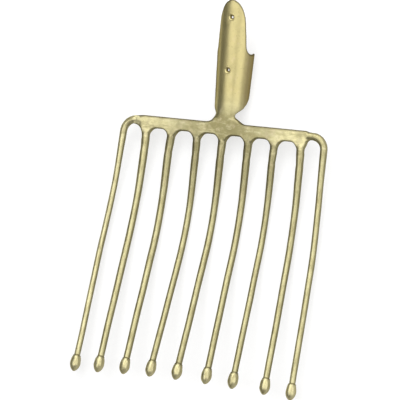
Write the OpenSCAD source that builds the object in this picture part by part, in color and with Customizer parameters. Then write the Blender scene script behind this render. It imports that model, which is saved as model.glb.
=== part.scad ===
// Head of a nine-tine potato fork, lying on its back with the hollow of the tines upward.
// The tines point to -Y, the socket opens to +Y, and the floor is z = 0.
// Every piece is drawn in the frame of the flat crossbar and then laid down by at_rest().

/* [Crossbar] */
// Height of the flat bar, along the fork
bar_h = 16; // [14:0.5:20]
// Thickness of the flat bar
bar_t = 10; // [9:0.5:13]
// Length of flat bar past the last inner tine
bar_over = 8; // [7:0.5:11]
// Rounding of the upper edges of the bar
bar_edge_r = 2.5; // [1:0.5:4]
// Radius of the arches between the tines
arch_r = 8; // [5:0.5:10]
// Distance from the middle of the bar to the weld of each inner tine
weld_at = 22; // [21:0.5:26]

/* [Tines] */
// Spacing of the seven inner tines
pitch = 36; // [32:0.5:40]
// Spacing from the last inner tine to the outer tine
outer_pitch = 33; // [30:0.5:38]
// Diameter of an inner tine at the bar
tine_root_d = 11; // [9:0.5:12]
// Diameter of an inner tine through its bend
tine_mid_d = 9.8; // [8:0.2:11]
// Diameter of an inner tine at its ball
tine_end_d = 9; // [7:0.2:10]
// Diameter of an outer tine at the bar and round the corner
outer_root_d = 10.4; // [9:0.2:12]
// Diameter of an outer tine through its bend
outer_mid_d = 9.4; // [8:0.2:11]
// Diameter of an outer tine at its ball
outer_end_d = 8.8; // [7:0.2:10]
// Radius of the corner that brings an outer tine off the bar
corner_r = 17; // [14:0.5:20]
// Height of the outer rods above the middle line of the bar
outer_lift = 1.5; // [0:0.1:2.5]
// Straight length from the middle of the bar to the bend
straight_len = 75; // [60:1:90]
// Length of the bend along the tine
bend_len = 89; // [70:1:110]
// Length from the bend to the middle of the ball
lower_len = 159; // [130:1:190]
// Extra length of the outer tines
outer_extra = 2.5; // [0:0.5:5]
// Bend of the middle tine in degrees
mid_bend = 17.7; // [13:0.1:22]
// Bend of the outer tines in degrees
outer_bend = 7.9; // [5:0.1:12]
// Upward lean of the outer tines at the bar in degrees
outer_rise = 3.5; // [2:0.1:5]
// Splay from one tine to the next in degrees
splay = 0.44; // [0:0.02:0.8]

/* [Balls] */
// Diameter of a ball
ball_d = 13.6; // [12:0.2:15]
// Length of a ball from its shoulder to its end
ball_len = 21; // [18:0.5:24]
// Radius of the blunt end of a ball
ball_nose_r = 3.4; // [2.5:0.1:4]
// Step of the shoulder round the end of the tine
ball_step = 0.5; // [0.2:0.1:1]

/* [Socket] */
// Outer diameter of the socket where it meets the bar
socket_base_d = 42; // [38:0.5:46]
// Outer diameter of the socket at its mouth
socket_mouth_d = 48.4; // [47:0.1:52]
// Thickness of the rolled sheet
sheet = 3; // [2:0.1:4]
// Height of the mouth above the bar
mouth_at = 91; // [80:1:100]
// Height of the rounded end of the tongue above the bar
tongue_len = 161; // [150:1:175]
// Width of the tongue at the mouth
tongue_root_w = 42; // [38:0.5:44]
// Width of the tongue where its rounded end begins
tongue_mid_w = 38; // [32:0.5:40]
// Height above the bar of that width
tongue_mid = 128; // [120:1:135]
// Radius of the curve that rounds off the tongue, seen from the side
tongue_curve_r = 100; // [80:5:130]
// Radius of the notch between tongue and wing
notch_r = 9; // [6:0.5:12]
// Rise of the mouth toward the corner of each wing
horn_rise = 2.5; // [0:0.5:5]
// Distance from the socket's axis to the free edges of the wings
wing_back = 12; // [6:0.5:15]
// Height above the bar at which the lower edge of the wings crosses the axis
wing_cut_at = 28; // [24:0.5:34]
// Forward lean of the socket in degrees
socket_lean = 3.1; // [0:0.1:6]
// Height of the socket's front over the middle of the bar's thickness
socket_front = 2.8; // [1:0.1:4]

/* [Neck] */
// Width of the neck
neck_w = 27; // [24:0.5:30]
// Thickness of the neck at the bar
neck_t = 8.4; // [7:0.2:9]
// Length of the neck, from the bar into the socket
neck_len = 26; // [22:0.5:30]
// Radius of the fillet from the left side of the neck to the bar
neck_fillet = 12; // [8:0.5:14]
// Width of the straight gusset at the right side of the neck
gusset_w = 13.5; // [8:0.5:16]
// Height of that gusset above the bar
gusset_h = 8; // [5:0.5:12]
// Depth of the fillet and the gusset below the front of the neck
fillet_set = 1.2; // [0.6:0.2:2]
// Depth of the neck's rounded end below the face of the socket
neck_sink = 0.6; // [0.4:0.1:1.2]

/* [Nail holes] */
// Diameter of a nail hole
hole_d = 4.2; // [3:0.1:6]
// Diameter of the dished rim of a nail hole
rim_d = 8.6; // [7:0.1:11]
// Depth of the dished rim
rim_depth = 1.2; // [0.5:0.1:2]
// Height of the lower nail hole above the bar
hole_low = 69; // [60:1:80]
// Distance between the nail holes
hole_gap = 68; // [60:1:75]

/* [Hidden] */

$fa = 4;
$fs = 0.6;

lacquer = [0.80, 0.73, 0.50];
// Overshoot of cutting shapes
cut = 1;
// Forms of one solid run this far into each other, the inner one of two rods a little thinner
lap = 1;
lap_play = 0.1;
// Where a curve runs on from a straight edge, it stands this far past it, so that the two cross
join = 0.02;
// Thin end slices of the hull that makes the neck, and the steps of its rounded side
slice = 0.01;
arc_steps = 12;

// The tines are numbered 1 to 9 from -X, and k counts them from the middle one, -4 to 4
side_tines = 4;
bar_half = (side_tines - 1) * pitch + bar_over;
outer_x = (side_tines - 1) * pitch + outer_pitch;
leg_end = bar_h / 2 + arch_r;
// The root of a tine comes out of its leg from here on
root_at = bar_h / 2 + arch_r / 2;

function outer(k) = abs(k) == side_tines;
// Share of the outer tine's shape that tine k has
function share(k) = pow(k / side_tines, 2);
function tine_x(k) = outer(k) ? sign(k) * outer_x : k * pitch;
function tine_y(k) = outer(k) ? outer_lift : 0;
function rise(k) = outer_rise * share(k);
function bend(k) = mid_bend + (outer_bend - mid_bend) * share(k);
function bend_r(k) = bend_len * 180 / (PI * bend(k));
function lower(k) = lower_len + outer_extra * share(k);
function mid_d(k) = outer(k) ? outer_mid_d : tine_mid_d;
function end_d(k) = outer(k) ? outer_end_d : tine_end_d;

// Corner of an outer tine: its middle, and where the straight stretch starts along the tine
outer_splay = side_tines * splay;
corner_y = outer_lift - corner_r;
corner_x = outer_x - (corner_r + corner_y * sin(outer_splay)) / cos(outer_splay);
corner_end = (corner_x - outer_x + corner_r * cos(outer_splay)) * sin(outer_splay)
    - (corner_y + corner_r * sin(outer_splay)) * cos(outer_splay);

// Ball: a long arc above its widest line, and below it a shorter arc that ends in a round nose
ball_r = ball_d / 2;
half_ball = ball_len / 2;
function shoulder_r(k) = end_d(k) / 2 + ball_step;
function upper_arc(k) =
    (pow(half_ball, 2) + pow(ball_r - shoulder_r(k), 2)) / (2 * (ball_r - shoulder_r(k)));
nose_at = half_ball - ball_nose_r;
nose_in = ball_r - ball_nose_r;
lower_arc_off = (pow(nose_at, 2) - pow(nose_in, 2)) / (2 * nose_in);
lower_arc = lower_arc_off + ball_r;
nose_join = nose_at * (lower_arc / (lower_arc - ball_nose_r));

// Socket: t runs up its axis from the top of the bar, h is the height from the axis to the front
socket_slope = (socket_mouth_d - socket_base_d) / 2 / mouth_at;
socket_flare = atan(socket_slope);
function socket_r(t) = socket_base_d / 2 + t * socket_slope;
socket_axis_z = socket_front - socket_base_d / 2;
function edge_h(t, w) = sqrt(pow(socket_r(t), 2) - pow(w / 2, 2));
tongue_h1 = edge_h(mouth_at, tongue_root_w);
tongue_h2 = edge_h(tongue_mid, tongue_mid_w);
tongue_tilt = atan2(tongue_h2 - tongue_h1, tongue_mid - mouth_at);
function tongue_edge(t) = tongue_h1 + (t - mouth_at) * tan(tongue_tilt);
// The curve touches the straight side of the tongue and passes through its end on the front
end_h = socket_r(tongue_len);
end_over = (end_h - tongue_edge(tongue_len)) * cos(tongue_tilt);
curve_back = sqrt(2 * tongue_curve_r * end_over - pow(end_over, 2));
curve_t = tongue_len + end_over * sin(tongue_tilt) - curve_back * cos(tongue_tilt);
curve_mid = [curve_t - (tongue_curve_r - join) * sin(tongue_tilt),
    tongue_edge(curve_t) + (tongue_curve_r - join) * cos(tongue_tilt)];
curve_lap = 6 * lap;
// Notch: an arc that touches the tongue's straight side and the upper edge of the wing
wing_lean = atan(horn_rise / (tongue_h1 + wing_back));
notch_angle = 90 + tongue_tilt - wing_lean;
notch_mid = [mouth_at, tongue_h1] + notch_r / sin(notch_angle / 2)
    * [cos(tongue_tilt - notch_angle / 2), sin(tongue_tilt - notch_angle / 2)];
notch_reach = notch_r / tan(notch_angle / 2);
socket_reach = socket_mouth_d;

// Rest on the floor: on the belly of the middle tine and on the socket's wings
belly_r = bend_r(0) + tine_mid_d / 2;
function socket_point(t, h) = [
    bar_h / 2 + t * cos(socket_lean) - h * sin(socket_lean),
    socket_axis_z + t * sin(socket_lean) + h * cos(socket_lean)];
function rest_angle(p) =
    let (dy = p[0] + straight_len, dz = bend_r(0) - p[1])
    atan2(dz, dy) + acos(belly_r / norm([dy, dz])) - 90;
tilt = max(rest_angle(socket_point(wing_cut_at + wing_back, -wing_back)),
    rest_angle(socket_point(mouth_at + horn_rise, -wing_back)));
floor_z = bend_r(0) * cos(tilt) - straight_len * sin(tilt) - belly_r;
// Ends of the outer balls and of the tongue along the floor
function laid_y(p) = p[0] * cos(tilt) - p[1] * sin(tilt);
nose_s = lower(side_tines) + nose_at;
outer_end = outer_rise + outer_bend;
nose_run = straight_len * cos(outer_rise)
    + bend_r(side_tines) * (sin(outer_end) - sin(outer_rise)) + nose_s * cos(outer_end);
nose_z = straight_len * sin(outer_rise)
    + bend_r(side_tines) * (cos(outer_rise) - cos(outer_end)) + nose_s * sin(outer_end);
tip_y = laid_y([-nose_run * cos(outer_splay), nose_z]) - ball_nose_r;
tongue_y = laid_y(socket_point(tongue_len, end_h));

module at_rest() {
    translate([0, -(tip_y + tongue_y) / 2, -floor_z])
        rotate([tilt, 0, 0])
            children();
}

// Frame of tine k: +Z runs along the tine from the middle of the bar, +Y faces the hollow side
module on_tine(k) {
    translate([tine_x(k), tine_y(k), 0])
        rotate([-rise(k), 0, 0])
            translate([0, -tine_y(k), 0])
                rotate([90, 0, k * splay])
                    children();
}

// Frame at the end of the bend of tine k, with +Z along the lower stretch
module past_bend(k) {
    on_tine(k)
        translate([0, bend_r(k) * (1 - cos(bend(k))), straight_len + bend_r(k) * sin(bend(k))])
            rotate([-bend(k), 0, 0])
                children();
}

// Frame of the socket: +Z up its axis from the top of the bar, -Y to the front
module on_socket() {
    translate([0, bar_h / 2, socket_axis_z])
        rotate([socket_lean - 90, 0, 0])
            children();
}

module arch(from_x, to_x) {
    top_y = -bar_h / 2 - arch_r;
    translate([from_x + arch_r, top_y])
        circle(arch_r);
    translate([to_x - arch_r, top_y])
        circle(arch_r);
    translate([from_x + arch_r, top_y])
        square([to_x - from_x - 2 * arch_r, arch_r]);
    translate([from_x, top_y - arch_r])
        square([to_x - from_x, arch_r]);
}

// The bar with its legs: the sides of the end legs run straight up to the ends of the bar
module bar_outline() {
    half_leg = tine_root_d / 2;
    side_x = (side_tines - 1) * pitch + half_leg;
    difference() {
        polygon([
            [-bar_half, bar_h / 2],
            [-bar_half, -bar_h / 2],
            [-side_x, -leg_end],
            [side_x, -leg_end],
            [bar_half, -bar_h / 2],
            [bar_half, bar_h / 2]]);
        for (k = [1 - side_tines : side_tines - 2])
            arch(k * pitch + half_leg, (k + 1) * pitch - half_leg);
    }
}

// Section of the bar down to the roots, with its upper edges rounded off
module bar_section() {
    core = bar_h / 2 - bar_edge_r;
    translate([-root_at, -bar_t / 2])
        square([root_at + core, bar_t]);
    translate([core, bar_edge_r - bar_t / 2])
        square([bar_edge_r, bar_t - 2 * bar_edge_r]);
    for (s = [-1, 1])
        translate([core, s * (bar_t / 2 - bar_edge_r)])
            circle(bar_edge_r);
}

// Cone that takes the corners off the end of a leg, at 45 degrees
module leg_cone() {
    end_r = tine_root_d / 2 + lap_play;
    depth = leg_end - root_at + lap;
    translate([0, 0, leg_end - depth])
        cylinder(h = depth + cut, r1 = end_r + depth, r2 = end_r - cut);
}

module crossbar() {
    seat_from = -neck_w / 2 - neck_fillet;
    seat_to = neck_w / 2 + gusset_w;
    color(lacquer) at_rest() {
        intersection() {
            translate([0, 0, -bar_t / 2])
                linear_extrude(bar_t)
                    bar_outline();
            union() {
                translate([-bar_half - cut, 0, 0])
                    rotate([90, 0, 90])
                        linear_extrude(2 * (bar_half + cut))
                            bar_section();
                translate([seat_from, -bar_h / 2, -bar_t / 2])
                    cube([seat_to - seat_from, bar_h, bar_t]);
                for (k = [1 - side_tines : side_tines - 1])
                    on_tine(k)
                        leg_cone();
            }
        }
        for (k = [1 - side_tines : side_tines - 1])
            on_tine(k)
                translate([0, 0, root_at])
                    cylinder(h = weld_at - root_at, d1 = bar_t - lap, d2 = tine_root_d);
    }
}

// Everything of a tine from the end of its straight root to its ball
module bend_and_end(k) {
    on_tine(k)
        translate([0, bend_r(k), straight_len])
            rotate([90, 0, -90])
                rotate_extrude(angle = bend(k))
                    translate([bend_r(k), 0])
                        circle(d = mid_d(k));
    past_bend(k)
        translate([0, 0, -lap])
            cylinder(h = lower(k) - half_ball + lap, d1 = mid_d(k) - lap_play, d2 = end_d(k));
}

module inner_tine(k) {
    on_tine(k)
        translate([0, 0, weld_at])
            cylinder(h = straight_len - weld_at + lap, d1 = tine_root_d, d2 = tine_mid_d - lap_play);
    bend_and_end(k);
}

// The outer tine starts as a rod in line with the bar and turns down at the corner
module outer_tine(k) {
    on_tine(k)
        translate([0, 0, corner_end - lap])
            cylinder(h = straight_len - corner_end + 2 * lap,
                d1 = outer_root_d - lap_play, d2 = outer_mid_d - lap_play);
    bend_and_end(k);
    translate([0, outer_lift, 0])
        rotate([-outer_rise, 0, 0])
            mirror([k < 0 ? 1 : 0, 0, 0]) {
                translate([bar_half, 0, 0])
                    rotate([0, 90, 0])
                        cylinder(h = corner_x - bar_half + lap, d = outer_root_d - lap_play);
                translate([corner_x, -corner_r, 0])
                    rotate([0, 0, outer_splay])
                        rotate_extrude(angle = 90 - outer_splay)
                            translate([corner_r, 0])
                                circle(d = outer_root_d);
            }
}

module tine(k) {
    color(lacquer) at_rest() {
        if (outer(k))
            outer_tine(k);
        else
            inner_tine(k);
    }
}

// Half outline of a ball, with its nose toward +Y and its widest line at y = 0
module ball_outline(k) {
    intersection() {
        translate([ball_r - upper_arc(k), 0])
            circle(upper_arc(k));
        translate([0, -half_ball])
            square([ball_d, half_ball]);
    }
    intersection() {
        translate([-lower_arc_off, 0])
            circle(lower_arc);
        square([ball_d, nose_join]);
    }
    intersection() {
        translate([0, nose_at])
            circle(ball_nose_r);
        square([ball_d, ball_len]);
    }
}

module tip(k) {
    color(lacquer) at_rest()
        past_bend(k)
            translate([0, 0, lower(k)])
                rotate_extrude()
                    ball_outline(k);
}

// The sheet seen from the side: t to the right, h upward
module sheet_outline() {
    top = socket_reach;
    corner = [mouth_at, tongue_h1];
    // Wings and the straight part of the tongue
    polygon([
        [wing_cut_at - top, top],
        [wing_cut_at + wing_back, -wing_back],
        [mouth_at + horn_rise, -wing_back],
        corner,
        [curve_t, tongue_edge(curve_t)],
        [curve_t, top]]);
    // Rounded end of the tongue
    intersection() {
        translate(curve_mid)
            circle(tongue_curve_r);
        translate([curve_t - curve_lap, 0])
            square([tongue_len - curve_t + curve_lap + cut, top]);
    }
    // Round notch between the tongue and the wing
    difference() {
        polygon([
            corner + [-lap, lap],
            corner + notch_reach * [sin(wing_lean), -cos(wing_lean)],
            notch_mid,
            corner + notch_reach * [cos(tongue_tilt), sin(tongue_tilt)]]);
        translate(notch_mid)
            circle(notch_r + join);
    }
}

module rolled_sheet() {
    top_t = tongue_len + cut;
    intersection() {
        difference() {
            cylinder(h = top_t, r1 = socket_r(0), r2 = socket_r(top_t));
            translate([0, 0, -cut])
                cylinder(h = top_t + 2 * cut, r1 = socket_r(-cut) - sheet,
                    r2 = socket_r(top_t + cut) - sheet);
            nail_hole(hole_low);
            nail_hole(hole_low + hole_gap);
        }
        // t goes to +Z and h to -Y
        translate([-socket_reach, 0, 0])
            rotate([90, 0, 90])
                rotate([0, 0, 90])
                    linear_extrude(2 * socket_reach)
                        sheet_outline();
    }
}

// A hole whose dish widens to the rim at the face of the sheet, and on past it
module nail_hole(t) {
    translate([0, -socket_r(t), t])
        rotate([90 + socket_flare, 0, 0])
            rotate_extrude()
                polygon([
                    [0, -sheet - cut],
                    [hole_d / 2, -sheet - cut],
                    [hole_d / 2, -rim_depth],
                    [rim_d - hole_d / 2, rim_depth],
                    [0, rim_depth]]);
}

// Forged neck: flat on the bar, and rounded like the sheet where it runs into the socket, with a hollow
// fillet to the bar at its left and a straight gusset at its right
module neck() {
    end_r = socket_r(neck_len) - neck_sink;
    arc_a = asin(neck_w / 2 / end_r);
    hull() {
        translate([-neck_w / 2, bar_h / 2, -neck_t / 2])
            cube([neck_w, slice, neck_t]);
        on_socket()
            translate([0, 0, neck_len])
                linear_extrude(slice)
                    polygon([for (i = [0 : arc_steps])
                        let (a = arc_a * (2 * i / arc_steps - 1))
                        end_r * [sin(a), -cos(a)]]);
    }
    translate([-neck_w / 2, bar_h / 2, -neck_t / 2])
        linear_extrude(neck_t - fillet_set)
            difference() {
                translate([-neck_fillet, 0])
                    square([neck_fillet + lap, neck_fillet]);
                translate([-neck_fillet, neck_fillet])
                    circle(neck_fillet);
            }
    translate([neck_w / 2, bar_h / 2, -neck_t / 2])
        linear_extrude(neck_t - fillet_set)
            polygon([[-lap, 0], [gusset_w, 0], [0, gusset_h], [-lap, gusset_h]]);
}

module socket() {
    color(lacquer) at_rest() {
        on_socket()
            rolled_sheet();
        neck();
    }
}

crossbar();
socket();
tine(-4);  // tine_1
tine(-3);  // tine_2
tine(-2);  // tine_3
tine(-1);  // tine_4
tine(0);  // tine_5
tine(1);  // tine_6
tine(2);  // tine_7
tine(3);  // tine_8
tine(4);  // tine_9
tip(-4);  // tip_1
tip(-3);  // tip_2
tip(-2);  // tip_3
tip(-1);  // tip_4
tip(0);  // tip_5
tip(1);  // tip_6
tip(2);  // tip_7
tip(3);  // tip_8
tip(4);  // tip_9
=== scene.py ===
"""Head of a nine-tine potato fork: forged steel under a transparent gold lacquer, lying on a white floor."""

import math

import bmesh
import bpy
import numpy as np
from mathutils import Matrix, Vector, noise


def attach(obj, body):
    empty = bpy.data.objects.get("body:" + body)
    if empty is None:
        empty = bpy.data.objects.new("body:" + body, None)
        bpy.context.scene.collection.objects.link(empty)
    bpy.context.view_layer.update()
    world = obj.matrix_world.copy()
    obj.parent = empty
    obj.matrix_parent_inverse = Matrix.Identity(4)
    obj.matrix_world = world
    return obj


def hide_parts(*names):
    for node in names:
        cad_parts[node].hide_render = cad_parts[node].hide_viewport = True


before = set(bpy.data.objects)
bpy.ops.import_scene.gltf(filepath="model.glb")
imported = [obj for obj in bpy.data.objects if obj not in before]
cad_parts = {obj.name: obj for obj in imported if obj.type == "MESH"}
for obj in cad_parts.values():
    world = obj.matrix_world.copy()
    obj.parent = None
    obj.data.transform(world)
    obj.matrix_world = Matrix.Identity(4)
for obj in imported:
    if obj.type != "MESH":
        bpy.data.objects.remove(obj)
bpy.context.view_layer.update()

# A millimetre in metres
MM = 0.001

# Sizes of the fork in mm and degrees, as in the solids. The tines are counted from the middle one, which is
# tine 0, with SIDE of them to each side.
SIDE = 4
PITCH = 36.0
BAR_H = 16.0
BAR_T = 10.0
BAR_HALF = 116.0
# The outer tines stand further out and a little higher, behind a round corner
OUTER_X = 141.0
OUTER_LIFT = 1.5
CORNER_R = 17.0
# Lengths along a tine: to its weld, to its bend, through the bend, and from there to the middle of its ball
WELD_AT = 22.0
STRAIGHT = 75.0
BEND_LEN = 89.0
LOWER = 159.0
OUTER_EXTRA = 2.5
MID_BEND = 17.7
OUTER_BEND = 7.9
OUTER_RISE = 3.5
SPLAY = 0.44
# Radii of a tine at its root, in its middle and at its ball
INNER_RADII = (5.85, 4.9, 4.5)
OUTER_RADII = (5.2, 4.7, 4.4)
# Length at which an inner tine has its middle radius
RUN_OUT = 105.0
BALL_R = 6.8
BALL_HALF = 10.5
NOSE_R = 3.4
BALL_STEP = 0.5
# The socket is a cone of rolled sheet that leans forward from the bar's upper edge
SOCKET_R = 21.0
SOCKET_SLOPE = 0.035165
SOCKET_FRONT = 2.8
SOCKET_LEAN = 3.1
NAIL_HOLES = (69.0, 137.0)
# How far each hand-set tine stands aside, and at which lengths: near its root, in its middle and at its end
BOWS = ((1.2, -1.5, 0.3), (1.2, 0.2, 0.8), (-1.2, -0.4, 0.4), (0.9, 2.0, 0.0), (-0.6, -0.8, -1.8),
        (-0.4, -0.7, 0.3), (-1.2, -1.8, -2.5), (1.2, 1.3, 1.2), (-1.0, 0.4, -1.1))
BOWS_AT = (45, 170, 320)
# How far it wanders besides, and over which length
WANDER, WANDER_LEN = 0.5, 60
# How much of its half thickness each hand-drawn tine lost against the plain solids. An outer tine lost only a
# share of it at the bar, and all of it from LOSS_LEN on. Every tine has a share of it back at its ball.
DRAWN = (0.75, 0.35, 0.3, 0.65, 0.45, 0.5, 0.75, 0.55, 0.6)
LOSS_AT_BAR, LOSS_LEN = 0.4, 60
BACK_AT_BALL = 0.4
# Lengths between which a thinner tine sinks toward the floor, and between which it rises again
ONTO_FLOOR = (40, 90)
OFF_FLOOR = (220, 310)
# How far the thin starts of the inner and the outer rods lie hidden in the skin of the bar
HIDDEN_INNER, HIDDEN_OUTER = 20, 11

# Fineness of the meshes: steps in mm, sides of what is round, and rings down a ball
ROD_STEP = 1.6
CORNER_STEP = 1.3
CORNER_TURNS = 24
CORNER_GAP = 1.0
ROD_SIDES = 28
ROOT_SIDES = 24
BALL_SIDES = 40
HOLE_SIDES = 48
VOXEL = 0.62
UPPER_RINGS, LOWER_RINGS, NOSE_RINGS = 16, 14, 9
# Depth of the hammer's flats as a share of the radius, and the height of the noise that leaves it as it is
ROD_HAMMER, ROD_FLATS = 0.025, 0.25
BALL_HAMMER, BALL_FLATS = 0.045, 0.45


# The fork frame

def turned_about_x(angle):
    """Matrix of a turn about X."""
    c, s = math.cos(angle), math.sin(angle)
    return np.array([[1, 0, 0], [0, c, -s], [0, s, c]])


# In mm: X across, +Y from the middle of the bar toward the socket, +Z to the hollow side. The fork is laid on
# the floor by this turn and shift, the same as the solids.
TURN = turned_about_x(math.radians(8.964427))
SHIFT = np.array([0.0, 86.3213, 20.1056])
# Where the socket's axis starts, counted in Z from the middle of the bar, and how far it leans forward
AXIS_Z = SOCKET_FRONT - SOCKET_R
LEAN = math.radians(SOCKET_LEAN)


def laid(points):
    """Points of the fork frame in mm, as points of the scene in metres."""
    return (np.asarray(points, float) @ TURN.T + SHIFT) * MM


def unlaid(points):
    """Points of the scene in metres, as points of the fork frame in mm."""
    return (np.asarray(points, float) / MM - SHIFT) @ TURN


def laid_direction(direction):
    """A direction of the fork frame, in the scene."""
    return Vector(np.asarray(direction, float) @ TURN.T)


# Camera

VIEW_TURN = math.radians(23.1)
VIEW_ROLL = math.radians(6.26)
AIM = (-22.2, -94.2, 0.0)
DISTANCE = 3870.0
LENS = 270.0
SENSOR = 36.0
FAR_CLIP = 20.0

TO_CAMERA = np.array([math.sin(VIEW_TURN), 0, math.cos(VIEW_TURN)])
LEVEL = np.array([math.cos(VIEW_TURN), 0, -math.sin(VIEW_TURN)])
ALONG = np.array([0.0, 1.0, 0.0])
IMAGE_RIGHT = math.cos(VIEW_ROLL) * LEVEL + math.sin(VIEW_ROLL) * ALONG
IMAGE_UP = -math.sin(VIEW_ROLL) * LEVEL + math.cos(VIEW_ROLL) * ALONG


def put_in_scene(name, data):
    """A new object with this data, in the scene."""
    made = bpy.data.objects.new(name, data)
    bpy.context.scene.collection.objects.link(made)
    return made


def facing(back, up, place):
    """Matrix of a camera or lamp at place that looks along -back."""
    back, up = back.normalized(), up.normalized()
    right = up.cross(back).normalized()
    up = back.cross(right)
    return Matrix.Translation(place) @ Matrix((right, up, back)).transposed().to_4x4()


def make_camera():
    """The photograph's view: from the fork's right, with a long lens and a little roll."""
    data = bpy.data.cameras.new("camera")
    data.lens, data.sensor_width = LENS, SENSOR
    data.clip_end = FAR_CLIP
    camera = put_in_scene("camera", data)
    place = Vector(laid([np.array(AIM) + DISTANCE * TO_CAMERA])[0])
    camera.matrix_world = facing(laid_direction(TO_CAMERA), laid_direction(IMAGE_UP), place)
    bpy.context.scene.camera = camera


# Forms that the pieces share

def smooth(piece):
    """Shades a piece smooth."""
    piece.data.polygons.foreach_set("use_smooth", [True] * len(piece.data.polygons))
    piece.data.update()


def mesh_piece(name, verts, faces):
    """A smooth piece over vertices of the fork frame."""
    mesh = bpy.data.meshes.new(name)
    mesh.from_pydata([tuple(v) for v in laid(verts)], [], faces)
    mesh.update()
    piece = put_in_scene(name, mesh)
    smooth(piece)
    return piece


def wave(x, y, z, seed):
    """Soft noise of about -1 to 1, the same in each run."""
    return noise.noise(Vector((x + 17.3 * seed, y - 9.1 * seed, z + 4.7 * seed)))


def eased(value, low, high):
    """0 below low, 1 above high, and a soft step between them."""
    f = min(1.0, max(0.0, (value - low) / (high - low)))
    return f * f * (3 - 2 * f)


def between(value, low, low_full, high_full, high):
    """1 between the full values, with a soft step down to 0 at each end."""
    return eased(value, low, low_full) * (1 - eased(value, high_full, high))


def swell(distance, width):
    """1 in the middle of a rounded hump, and about a third at its width."""
    return math.exp(-(distance / width) ** 2)


def unit(vector):
    """A vector of length 1 the same way."""
    return vector / np.linalg.norm(vector)


def hammered(radius, flats, depth, mean):
    """A radius with the soft flats that a hammer leaves, depth being their share of it."""
    return radius * (1 + depth * (flats - mean))


def circle(sides):
    """Cosine and sine at each corner of a ring."""
    turns = [2 * math.pi * j / sides for j in range(sides)]
    return [(math.cos(turn), math.sin(turn)) for turn in turns]


def lengths_along(line):
    """Length from the start of a line to each of its points."""
    steps = np.linalg.norm(np.diff(np.array(line), axis=0), axis=1)
    return np.concatenate([[0], np.cumsum(steps)])


def ring_faces(rings, sides):
    """Quads between rings of vertices, and a fan of triangles to the two end points that follow the rings."""
    faces = []
    for i in range(rings - 1):
        for j in range(sides):
            k = (j + 1) % sides
            faces.append((i * sides + j, i * sides + k, (i + 1) * sides + k, (i + 1) * sides + j))
    first, last, top = rings * sides, rings * sides + 1, (rings - 1) * sides
    for j in range(sides):
        k = (j + 1) % sides
        faces.append((first, k, j))
        faces.append((last, top + j, top + k))
    return faces


def hammered_rod(name, line, radii, seed):
    """A forged rod along a line in the fork frame: nearly round, with the soft flats that a hammer leaves."""
    line = np.asarray(line, float)
    tangents = np.gradient(line, axis=0)
    tangents /= np.linalg.norm(tangents, axis=1)[:, None]
    u = unit(np.cross(tangents[0], [0.0, 0.0, 1.0]))
    verts = []
    for centre, tangent, radius, s in zip(line, tangents, radii, lengths_along(line)):
        u = unit(u - tangent * np.dot(u, tangent))
        v = np.cross(tangent, u)
        for c, w in circle(ROD_SIDES):
            flats = wave(1.3 * c, 1.3 * w, s / 22, seed) + 0.5 * wave(2.1 * c, 2.1 * w, s / 7, seed + 3)
            verts.append(centre + hammered(radius, flats, ROD_HAMMER, ROD_FLATS) * (c * u + w * v))
    verts += [line[0], line[-1]]
    return mesh_piece(name, verts, ring_faces(len(line), ROD_SIDES))


def finish_piece(piece, node, lacquer):
    """Lacquers a piece and lets it stand for its solid."""
    piece.data.materials.append(lacquer)
    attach(piece, "root")
    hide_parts(node)


# Tines

def share(k):
    """How much of an outer tine's rise and bend tine k has."""
    return (k / SIDE) ** 2


def rise(k):
    """How steeply tine k rises from the bar."""
    return math.radians(OUTER_RISE) * share(k)


def bend(k):
    """How far tine k turns in its bend."""
    return math.radians(MID_BEND + (OUTER_BEND - MID_BEND) * share(k))


def lower_len(k):
    """Length of tine k from its bend to the middle of its ball."""
    return LOWER + OUTER_EXTRA * share(k)


def is_outer(k):
    """Whether tine k is one of the two that carry on from the ends of the bar."""
    return abs(k) == SIDE


def tine_frame(k):
    """Origin and axes of tine k in the fork frame: across, to the hollow side, along the tine."""
    x0 = math.copysign(OUTER_X, k) if is_outer(k) else k * PITCH
    y0 = OUTER_LIFT if is_outer(k) else 0.0
    splay = k * math.radians(SPLAY)
    lift = turned_about_x(-rise(k))
    across = lift @ np.array([math.cos(splay), math.sin(splay), 0])
    hollow = lift @ np.array([0, 0, 1.0])
    down = lift @ np.array([math.sin(splay), -math.cos(splay), 0])
    origin = np.array([x0, y0, 0]) + lift @ np.array([0, -y0, 0])
    return origin, across, hollow, down


def tine_point(k, s):
    """Height to the hollow side and run down the tine at length s, and the direction there."""
    angle = bend(k)
    r = BEND_LEN / angle
    if s <= STRAIGHT:
        return 0.0, s, 0.0
    if s <= STRAIGHT + BEND_LEN:
        a = (s - STRAIGHT) / r
        return r * (1 - math.cos(a)), STRAIGHT + r * math.sin(a), a
    over = s - STRAIGHT - BEND_LEN
    height = r * (1 - math.cos(angle)) + over * math.sin(angle)
    run = STRAIGHT + r * math.sin(angle) + over * math.cos(angle)
    return height, run, angle


def tine_radius(k, s):
    """Radius of tine k at length s, without what was lost when it was drawn."""
    root, middle, end = OUTER_RADII if is_outer(k) else INNER_RADII
    start, run_out = (0.0, STRAIGHT) if is_outer(k) else (WELD_AT, RUN_OUT)
    near_bar = LOSS_AT_BAR + (1 - LOSS_AT_BAR) * eased(s, 0, LOSS_LEN)
    lost = DRAWN[k + SIDE] * (near_bar if is_outer(k) else 1.0)
    if s <= run_out:
        return root + (middle - root) * max(0.0, (s - start) / (run_out - start)) - lost
    over = min(1.0, max(0.0, s - STRAIGHT - BEND_LEN) / (lower_len(k) - BALL_HALF))
    return middle + (end - middle) * over - lost * (1 - BACK_AT_BALL * over)


def sunk(k, s):
    """How far the middle of a thinner tine sinks, so that its underside still lies on the floor."""
    return DRAWN[k + SIDE] * eased(s, *ONTO_FLOOR) * (1 - eased(s, *OFF_FLOOR))


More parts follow.
